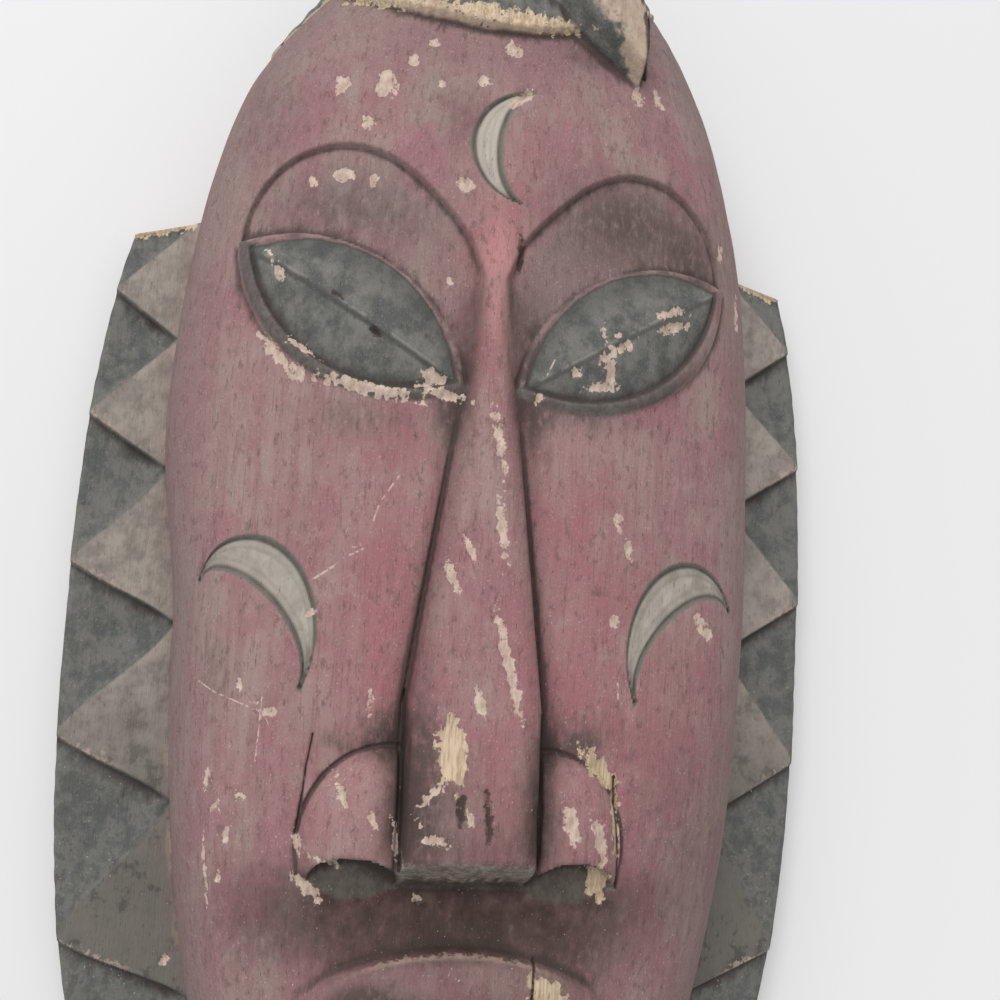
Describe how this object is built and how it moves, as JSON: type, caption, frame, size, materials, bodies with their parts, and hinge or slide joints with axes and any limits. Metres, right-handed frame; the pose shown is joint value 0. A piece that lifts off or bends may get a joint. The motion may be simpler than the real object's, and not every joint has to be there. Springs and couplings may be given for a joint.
{
  "type": "carved wooden face mask",
  "caption": "Long painted wooden face mask, hollow at the back, with closed almond eyes, a wedge nose, carved crescents and a flat collar of chip-carved triangles.",
  "frame": {"origin": "on the back plane, in the middle of the outline", "axes": "+X to the right as one looks at the face, +Y from the chin to the crown, +Z out of the face"},
  "size_m": [0.219, 0.42, 0.081],
  "materials": {
    "painted_wood": "matt worn paint in dusty maroon, slate green and grey-brown over pale carved wood"
  },
  "bodies": {
    "root": {"mask": "painted_wood"}
  },
  "joints": []
}
